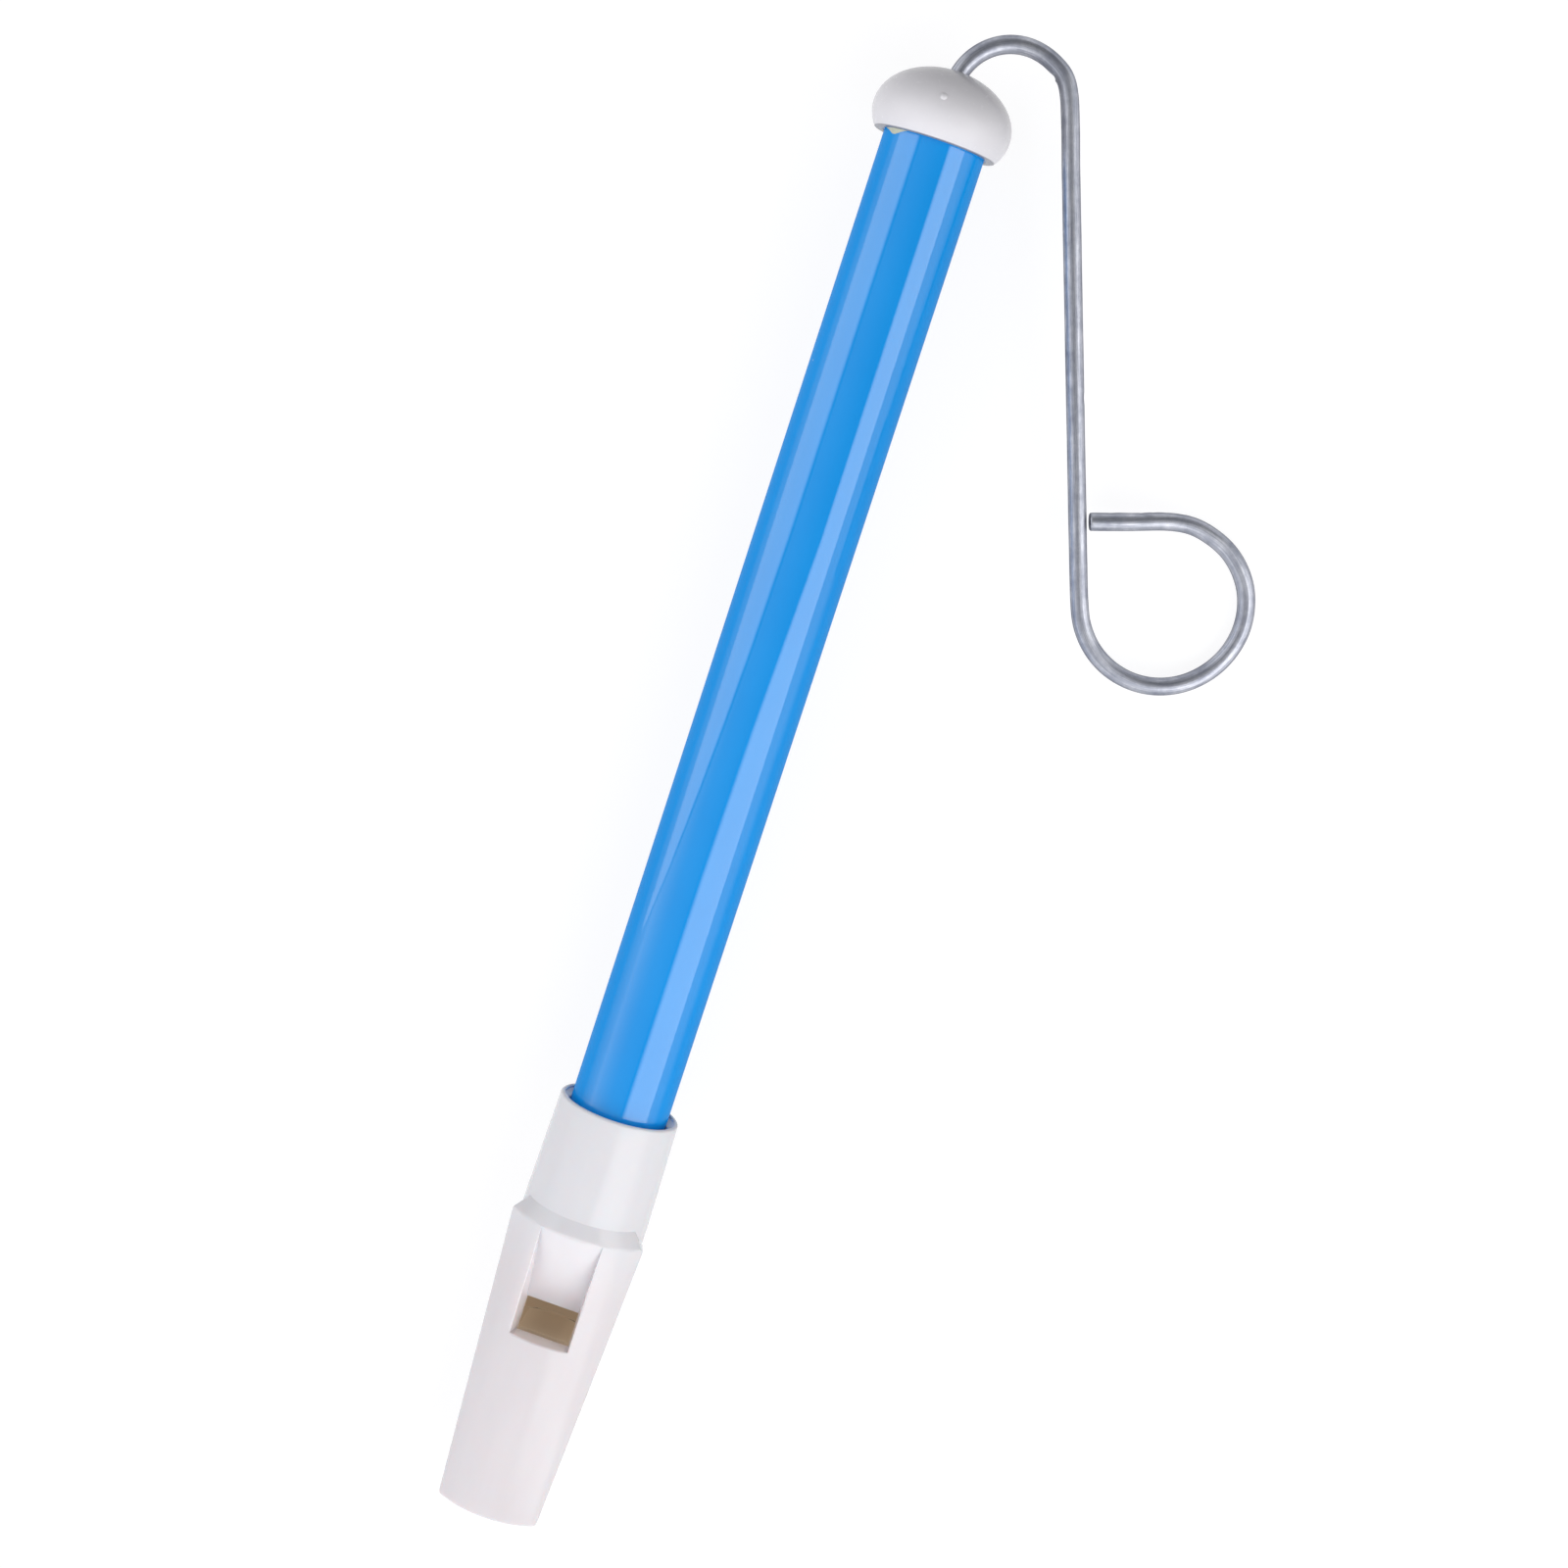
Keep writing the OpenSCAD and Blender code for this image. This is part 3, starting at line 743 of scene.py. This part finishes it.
def mouthpiece(plastic):
    """The moulded mouthpiece: its half and the mirrored half, joined along the middle.

    Outside: rows run from the rounded tip to the shoulder, over the bevel, along the sleeve and over its
    rim. Inside: the same columns come back down the socket and the chamber. All patches share their
    borders."""
    angles = round_angles()
    tip, near, window, low_ramp, beside = beak_rows()
    high_ramp, band, ledge, sleeve_low = bevel_rows(low_ramp[-1], beside, angles)
    sleeve_start, turned = sleeve_rows(angles)
    section = chamber_outline(angles)
    front_face = with_x(FLAT_X, np.stack([turned[-1, :, 1:], section]))
    chamber = with_x(np.linspace(FLAT_X, EDGE_X, 4), np.stack([section] * 4))
    under_window = with_x(window[::-1, 0, 0], np.stack([section] * len(window)))
    border = np.concatenate([low_ramp[:, N_FRONT], beside[1:, N_FRONT]])
    ramp, ramp_wall = ramp_and_wall(border)
    levels = np.array([[EDGE_H], [CHAMBER_TOP]])
    edge_y = wall_y(levels) * front_shares(border_angle(EDGE_X))
    sounding_edge = with_x(EDGE_X, np.stack([edge_y, levels + 0 * edge_y], -1))
    channel = channel_rows()
    lip = lerp(window[0, :N_FRONT + 1], channel[0, :N_FRONT + 1], np.linspace(0, 1, 3)[:, None, None])
    end_wall = np.stack([under_window[-1, N_FRONT:CREASE + 1], channel[0, N_FRONT + 2:]])
    tip_face = np.stack([channel[-1], tip[0]])
    around = slice(N_FRONT, None)
    half = [grid(rows) for rows in (
        tip_face, tip, near, window[:, around], low_ramp[:, around], high_ramp[:, around], band, ledge,
        sleeve_low, sleeve_start, turned, front_face, chamber, under_window[:, around], end_wall, channel)]
    half += [grid(window_wall(window[:, N_FRONT]), flip=True), grid(ramp_wall, flip=True), grid(ramp),
             grid(sounding_edge, flip=True), grid(lip)]
    points, faces = joined(half + [mirrored(patch) for patch in half])
    made = piece("mouthpiece_shell", points, faces, plastic, "whistle", "white_plastic", ["mouthpiece"],
                 rad(16))
    lines = rounded_lines(tip, near, window, border, ramp_wall[:, -1], band, channel)
    soften(made, points, lines, width=0.5)


def tube(lacquer):
    """The tube: a closed profile carried once round the axis, a long wall with both its ends rounded."""
    edge = 0.15
    near, far = TUBE_X0 + edge, tube_high[0] - edge
    inner, outer = BORE_R + edge, TUBE_R - edge
    arcs = [arc_points(x, r, edge, start, -np.pi / 2, 3) for x, r, start in (
        (far, outer, np.pi / 2), (far, inner, 0), (near, inner, -np.pi / 2), (near, outer, np.pi))]
    wall = np.linspace(near, far, 30)
    x = np.concatenate([wall] + [arc[0] for arc in arcs])
    r = np.concatenate([np.full(len(wall), TUBE_R)] + [arc[1] for arc in arcs])
    points, faces = joined([grid(rings(x, r, np.linspace(0, 2 * np.pi, 161)))])
    piece("tube_lacquered", points, faces, lacquer, "whistle", "blue_lacquer", ["tube"])


def cap(plastic):
    """The domed cap: an oval profile over the tube's socket, with a hole for the wire and a mould pip.

    The rim's round turns through 72 degrees and meets the dome a little above its low end."""
    low = -np.arcsin(CAP_WAIST / CAP_RISE)
    hole_r = HOLE_R + CAP_EDGE
    dome = np.linspace(low + 0.05, np.arccos(hole_r / CAP_R), 60)
    dome_x = CAP_X + CAP_WAIST + CAP_RISE * np.sin(dome)
    rim_x, rim_r = arc_points(CAP_X + CAP_EDGE, CAP_R * np.cos(low) - CAP_EDGE * 0.6, CAP_EDGE,
                              -np.pi, -np.pi * 0.4, 4)
    lip_x, lip_r = arc_points(dome_x[-1] - CAP_EDGE, hole_r, CAP_EDGE, 0, -np.pi / 2, 4)
    floor_x = CAP_X + CAP_SOCKET
    x = np.concatenate([rim_x, dome_x, lip_x[1:], np.linspace(lip_x[-1], floor_x, 6)[1:], [floor_x] * 4,
                        np.linspace(floor_x, CAP_X + CAP_EDGE, 5)[1:], [CAP_X] * 2])
    r = np.concatenate([rim_r, CAP_R * np.cos(dome), lip_r[1:], [HOLE_R] * 5,
                        np.linspace(HOLE_R, SEAT_R, 5)[1:], [SEAT_R] * 4, [SEAT_R + CAP_EDGE, rim_r[0]]])
    shell = grid(rings(x, r, np.linspace(0, 2 * np.pi, 129)))
    # The pip is a small ball, mostly sunk in the dome
    a = np.linspace(0, 2 * np.pi, 25)
    b = np.linspace(0, np.pi, 13)[:, None]
    centre = [CAP_X + CAP_WAIST + CAP_RISE * np.sin(PIP_LEAN), 0, CAP_R * np.cos(PIP_LEAN) - PIP_SINK]
    ball = PIP_R * np.stack([np.sin(b) * np.cos(a), np.sin(b) * np.sin(a), np.cos(b) + 0 * a], -1) + centre
    points, faces = joined([shell, grid(ball)])
    piece("cap_dome", points, faces, plastic, "whistle", "cap_plastic", ["end_cap"])


def cement_smear(cement):
    """Cement squeezed out of the cap's seat and set there: a fillet between the cap's rim and the tube.

    Its depth along the tube and its height on the rim follow the same hump round the tube, highest near
    its middle. The face between them is hollow, as a drop draws itself into a corner."""
    depth, height, sunk, hollow = 0.65, 1.0, 0.02, 0.25
    t = np.linspace(0, 1, 41)[:, None]
    angles = rad(24) + rad(50) * t
    hump = np.sin(np.pi * t) ** 0.6 * (0.45 + 0.55 * np.exp(-((t - 0.47) / 0.2) ** 2))
    rim_x = CAP_X + CAP_EDGE
    hang = rim_x - hump * (CAP_EDGE + depth)
    rise = TUBE_R + sunk + hump * height
    slide = np.linspace(0, 1, 8)
    bow = hollow * np.sin(np.pi * slide)
    x = lerp(rim_x, hang, slide) + (rim_x - hang) * bow
    r = lerp(rise, TUBE_R, slide) - (rise - TUBE_R) * bow
    x = np.concatenate([x, 0 * t + rim_x, x[:, :1]], 1)
    r = np.concatenate([r, 0 * t + TUBE_R - sunk, r[:, :1]], 1)
    points, faces = joined([grid(np.stack([x, r * np.sin(angles), r * np.cos(angles)], -1), flip=True)])
    piece("cement_smear", points, faces, cement, "whistle", None)


def wire_path(step):
    """The wire's middle line in its own plane: places, directions, lengths along it and where its runs end.

    The curvature is zero on straight lengths and one over the radius in bends, smoothed over a
    short length as in a real bend. Direction is the sum of curvature, and place the sum of direction."""
    smoothing = 1.6
    runs = [(HOOK_X - ROD_X0, 0.0), (HOOK_R * (np.pi - LEG_ANGLE), -1 / HOOK_R), (LEG_L, 0.0),
            (RING_R * 1.5 * np.pi, 1 / RING_R), (STUB_L, 0.0)]
    ends = np.cumsum([length for length, bend in runs])
    count = int(round(ends[-1] / step))
    s = (np.arange(count) + 0.5) * ends[-1] / count
    exact = np.array([bend for length, bend in runs])[np.searchsorted(ends, s)]
    blur = np.hanning(int(smoothing / step) | 1)
    blur /= blur.sum()
    heading = np.cumsum(np.convolve(exact, blur, "same")) * ends[-1] / count
    way = np.stack([np.cos(heading), np.sin(heading)], -1)
    place = np.cumsum(way, 0) * ends[-1] / count + [ROD_X0, 0]
    # Bent by hand, it strays a little: place along the wire, and how far it stands to the left
    stray = np.array([(150, 0), (152, 0.03), (153.8, 0.16), (154.6, 0.14), (156.4, -0.03), (158, -0.03),
                      (161, 0), (165, -0.06), (185, -0.07), (212, -0.08), (218, -0.07), (221, 0.02),
                      (226, 0.05), (231, 0.09), (238, 0.13), (242, 0.14), (246, 0.08), (250, -0.02),
                      (255, -0.08), (260, 0), (263.5, 0.1), (266, 0.05), (269, 0.12), (271, 0.04), (274, 0),
                      (276.4, -0.1), (279.3, -0.24)])
    out = np.interp(s, stray[:, 0], stray[:, 1])
    out = np.convolve(np.pad(out, len(blur) // 2, "edge"), blur, "valid")
    place = place + out[:, None] * np.stack([-way[:, 1], way[:, 0]], -1)
    way = np.gradient(place, axis=0)
    return place, way / np.linalg.norm(way, axis=1, keepdims=True), s, ends


def in_space(flat):
    """Points or directions of the wire's own plane, which leans about the axis, in the whistle's frame."""
    return np.stack([flat[..., 0], flat[..., 1] * np.cos(WIRE_TILT), flat[..., 1] * np.sin(WIRE_TILT)], -1)


def wire_marks(ends):
    """Nicks and burrs: place along the wire, angle round it, length, width and height. The rough ones are
    near the closing end, and shallow ones lie all round the ring."""
    hook, leg, ring = ends[0], ends[1], ends[3]
    marks = [(hook + 16.6, np.pi, 0.5, 0.5, -0.16), (hook + 17.3, np.pi, 0.35, 0.5, 0.10),
             (leg + 36.0, 0.3, 0.5, 0.4, -0.10)]
    draw = np.random.default_rng(7)
    for _ in range(16):
        marks.append((ring - 5 + 12 * draw.random(), np.pi + draw.normal(0, 0.5), draw.uniform(0.15, 0.45),
                      draw.uniform(0.2, 0.5), draw.uniform(-0.09, 0.09)))
    for _ in range(24):
        marks.append((ends[2] + (ring - ends[2]) * draw.random(), draw.uniform(0, 2 * np.pi),
                      draw.uniform(0.3, 0.9), draw.uniform(0.2, 0.5), draw.uniform(-0.03, 0.02)))
    return marks


def pull_wire(metal):
    """The wire: a round section carried along its path, slightly uneven, with marks and cut ends.

    The path is summed in fine steps, and the section stands at every twentieth of them."""
    place, way, s, ends = wire_path(0.02)
    place, way, s = place[::20], way[::20], s[::20]
    sides = 40
    a = np.linspace(0, 2 * np.pi, sides + 1)
    radius = WIRE_R * (1 + 0.004 * np.sin(s / 2.7) + 0.003 * np.sin(s / 1.1 + 1))[:, None] + 0 * a
    for at, angle, length, width, height in wire_marks(ends):
        turn = (a - angle + np.pi) % (2 * np.pi) - np.pi
        radius += height * np.exp(-((s[:, None] - at) / length) ** 2 - (turn / width) ** 2)
    across = in_space(np.stack([-way[:, 1], way[:, 0]], -1))
    lift = np.array([0, -np.sin(WIRE_TILT), np.cos(WIRE_TILT)])
    ring = across[:, None] * np.cos(a)[None, :, None] + lift * np.sin(a)[None, :, None]
    rows = in_space(place)[:, None] + ring * radius[..., None]
    # Each end closes in a rounded edge and a flat cut face
    edge = 0.2
    turn = np.linspace(0, np.pi / 2, 4)[1:]
    reach = [(edge * np.sin(t), 1 - edge / WIRE_R * (1 - np.cos(t))) for t in turn] + [(edge, 0.5), (edge, 0)]
    caps = [[in_space(place[end] + sign * way[end] * out) + ring[end] * radius[end][:, None] * share
             for out, share in reach] for end, sign in ((0, -1), (-1, 1))]
    rows = np.concatenate([np.array(caps[0][::-1]), rows, np.array(caps[1])])
    lengths = np.concatenate([np.full(len(reach), s[0]), s, np.full(len(reach), s[-1])])
    points, faces = joined([grid(rows, flip=True)])
    made = piece("pull_wire_drawn", points, faces, metal, "wire", "steel_wire", ["pull_wire"], rad(40))
    wrap_wire(made.data, points, rows, lengths, sides)


def wrap_wire(mesh, corner_points, rows, lengths, sides):
    """A UV map in millimetres: length along the wire, and distance round it.

    A face that closes the round has its corners on the first column moved on by a whole turn."""
    at = {tuple(k): (length, j) for length, row in zip(lengths, rows)
          for j, k in enumerate(key(row[:-1]).tolist())}
    found = np.array([at[tuple(k)] for k in key(corner_points).tolist()])

    def listed(items, name):
        """One whole number of each of the mesh's items."""
        values = np.empty(len(items), int)
        items.foreach_get(name, values)
        return values

    corner = listed(mesh.loops, "vertex_index")
    face = np.repeat(np.arange(len(mesh.polygons)), listed(mesh.polygons, "loop_total"))
    column = found[corner, 1]
    highest = np.maximum.reduceat(column, listed(mesh.polygons, "loop_start"))[face]
    column = np.where((column == 0) & (highest > (sides + 1) / 2), sides, column)
    uv = np.stack([found[corner, 0], column * 2 * np.pi * WIRE_R / sides], -1)
    mesh.uv_layers.new(name="wire").data.foreach_set("uv", uv.ravel())


def seen_white(tree, level):
    """The backdrop's own brightness: the level straight to the camera, in gloss and through glass, and
    nothing to all other light, so that the white lights nothing."""
    ray = add(tree, "ShaderNodeLightPath").outputs
    seen = ray["Is Camera Ray"]
    for other in ("Is Glossy Ray", "Is Transmission Ray"):
        seen = add(tree, "ShaderNodeMath", {0: seen, 1: ray[other]}, operation="MAXIMUM")
    return add(tree, "ShaderNodeMath", {0: seen, 1: level}, operation="MULTIPLY")


def floor_and_backdrop():
    """A wide pale floor just under the whistle. It keeps the shadow, and reads as white where it is seen."""
    low = cad_box[0][2] / MM - 0.02
    size = 3000
    corner_points = np.array([(-size, -size, low), (size, -size, low), (size, size, low), (-size, size, low)])
    paper, tree, shader, place = material("pale_paper_sweep")
    plug(tree, shader, {"Base Color": linear("#7C7C7F"), "Roughness": 0.9, "Specular IOR Level": 0.1})
    glow = add(tree, "ShaderNodeEmission", {"Color": (1, 1, 1, 1), "Strength": seen_white(tree, 0.86)})
    both = add(tree, "ShaderNodeAddShader", {0: shader, 1: glow})
    plug(tree, tree.nodes["Material Output"], {"Surface": both})
    mesh_object("floor", corner_points, [(0, 1, 2, 3)], paper)


def softbox(name, rows, radiance, soft):
    """A long curved soft lamp. Each row gives the place along the whistle and two angles from straight up.

    The cloth is part of a tube round the whistle's axis, from the first angle to the second. It lights
    on its inner side only, and fades in smoothly from the first angle, over the soft share of its width."""
    cloth_r = 400
    rows = np.array(rows, float)
    share = np.linspace(0, 1, 13)
    angles = rad(lerp(rows[:, 1:2], rows[:, 2:3], share))
    points = np.stack([rows[:, :1] + 0 * angles, cloth_r * np.sin(angles), cloth_r * np.cos(angles)], -1)
    points, quads = grid(points, flip=bool(rows[0, 2] > rows[0, 1]))
    cloth, tree, shader, place = material(name + "_cloth")
    across = add(tree, "ShaderNodeAttribute", attribute_name="share").outputs["Fac"]
    ramp = add(tree, "ShaderNodeMapRange", {0: across, 1: 0.0, 2: soft, 3: 0.0, 4: radiance},
               interpolation_type="SMOOTHSTEP")
    side = add(tree, "ShaderNodeNewGeometry").outputs["Backfacing"]
    front = add(tree, "ShaderNodeMath", {0: 1.0, 1: side}, operation="SUBTRACT")
    level = add(tree, "ShaderNodeMath", {0: ramp, 1: front}, operation="MULTIPLY")
    glow = add(tree, "ShaderNodeEmission", {"Color": (1, 1, 1, 1), "Strength": level})
    plug(tree, tree.nodes["Material Output"], {"Surface": glow})
    made = mesh_object(name, points, quads.tolist(), cloth)
    shares = np.tile(share, len(rows))
    made.data.attributes.new("share", "FLOAT", "POINT").data.foreach_set("value", shares)
    made.visible_camera = False


def stand(name, data, centre, side, back):
    """Puts a lamp or camera at a centre in millimetres, with its right side and its back as given."""
    made = in_scene(name, data)
    turn = Matrix((side, back.cross(side), back)).transposed()
    made.matrix_world = Matrix.Translation(centre * MM) @ turn.to_4x4()
    return made


def lamp_low(radiance):
    """A flat soft lamp beyond the blowing end, which faces the whistle."""
    light = bpy.data.lights.new("lamp_low", "AREA")
    light.shape = "RECTANGLE"
    light.size = 360 * MM
    light.size_y = 240 * MM
    light.energy = radiance * np.pi * light.size * light.size_y
    centre = Vector((-330, 40, 190))
    back = (centre - Vector((60, 0, 0))).normalized()
    side = Vector((0, 1, 0))
    stand("lamp_low", light, centre, (side - back * side.dot(back)).normalized(), back)


def studio_light():
    """Two long soft lamps beside the whistle, a smaller one beyond its blowing end, and a pale room."""
    softbox("lamp_left", [(0, 76, 82), (19, 58, 82), (41, 46, 82), (63, 37, 82), (85, 31, 82), (118, 27, 82),
                          (330, 27, 82)], radiance=1.98, soft=0.2)
    softbox("lamp_right", [(-230, -12, -72), (-47, -12, -77), (19, -14, -77), (63, -20, -77), (85, -26, -77),
                           (118, -35, -77), (330, -34, -77)], radiance=2.62, soft=0.2)
    lamp_low(radiance=0.35)
    world = bpy.data.worlds.new("surround")
    bpy.context.scene.world = world
    world.use_nodes = True
    tree = world.node_tree
    # The room is brighter away from the ring and beyond the blowing end, and dimmer overhead. The
    # white backdrop stands before its low part
    way = add(tree, "ShaderNodeTexCoord").outputs["Generated"]
    height = add(tree, "ShaderNodeSeparateXYZ", {0: way}).outputs["Z"]
    lean = add(tree, "ShaderNodeVectorMath", {0: way, 1: (-0.68, 0.66, 0.0)}, operation="DOT_PRODUCT")
    level = add(tree, "ShaderNodeMath", {0: lean, 1: 0.68})
    level = add(tree, "ShaderNodeMath", {0: level, 1: 0.02}, operation="MAXIMUM")
    ceiling = add(tree, "ShaderNodeMapRange", {0: height, 1: 0.4, 2: 0.9, 3: 1.0, 4: 0.45})
    room = add(tree, "ShaderNodeMath", {0: level, 1: ceiling}, operation="MULTIPLY")
    backdrop = add(tree, "ShaderNodeMapRange", {0: height, 1: 0.3, 2: 0.4, 3: 1.0, 4: 0.0})
    shown = add(tree, "ShaderNodeMath", {0: seen_white(tree, 1.0), 1: backdrop}, operation="MULTIPLY")
    strength = add(tree, "ShaderNodeMix", {"Factor": shown, 2: room, 3: 1.0})
    plug(tree, tree.nodes["Background"], {"Strength": strength, "Color": linear("#FBFCFF")})


def camera():
    """A 60 mm lens 333 mm above the whistle, turned so that the tube leans as in the photograph."""
    lens = bpy.data.cameras.new("camera")
    focal_px = 2680
    frame_px = 1600
    lens.sensor_width = 36
    lens.lens = focal_px / frame_px * lens.sensor_width
    lens.clip_start = 0.01
    right = Vector((0.3103, -0.9455, -0.0984)).normalized()
    ahead = Vector((-0.1345, 0.0588, -0.9892)).normalized()
    bpy.context.scene.camera = stand("camera", lens, Vector((149.4, -26.92, 332.68)), right, -ahead)


def dress_inner_nodes():
    """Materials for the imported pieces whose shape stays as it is."""
    steel = stamped_spring_steel()
    finishes = {
        "fipple_block": moulded_tan_block(),
        "bumper_washer": pressed_felt("pressed_grey_felt", "#4E4E55", "#73737B"),
        "piston": turned_acetal(),
        "piston_seal": pressed_felt("pressed_tan_felt", "#A08E6E", "#C6B695"),
        "front_clip": steel,
        "rear_clip": steel,
    }
    for name, finish in finishes.items():
        slots = frame["nodes"][name].data.materials
        slots.clear()
        slots.append(finish)


mouthpiece(moulded_white_polystyrene())
tube(lacquered_blue_aluminium())
cap(moulded_white_polyethylene())
cement_smear(set_contact_cement())
pull_wire(drawn_zinc_plated_wire())
dress_inner_nodes()
floor_and_backdrop()
studio_light()
camera()
bpy.context.scene.view_settings.view_transform = "Standard"
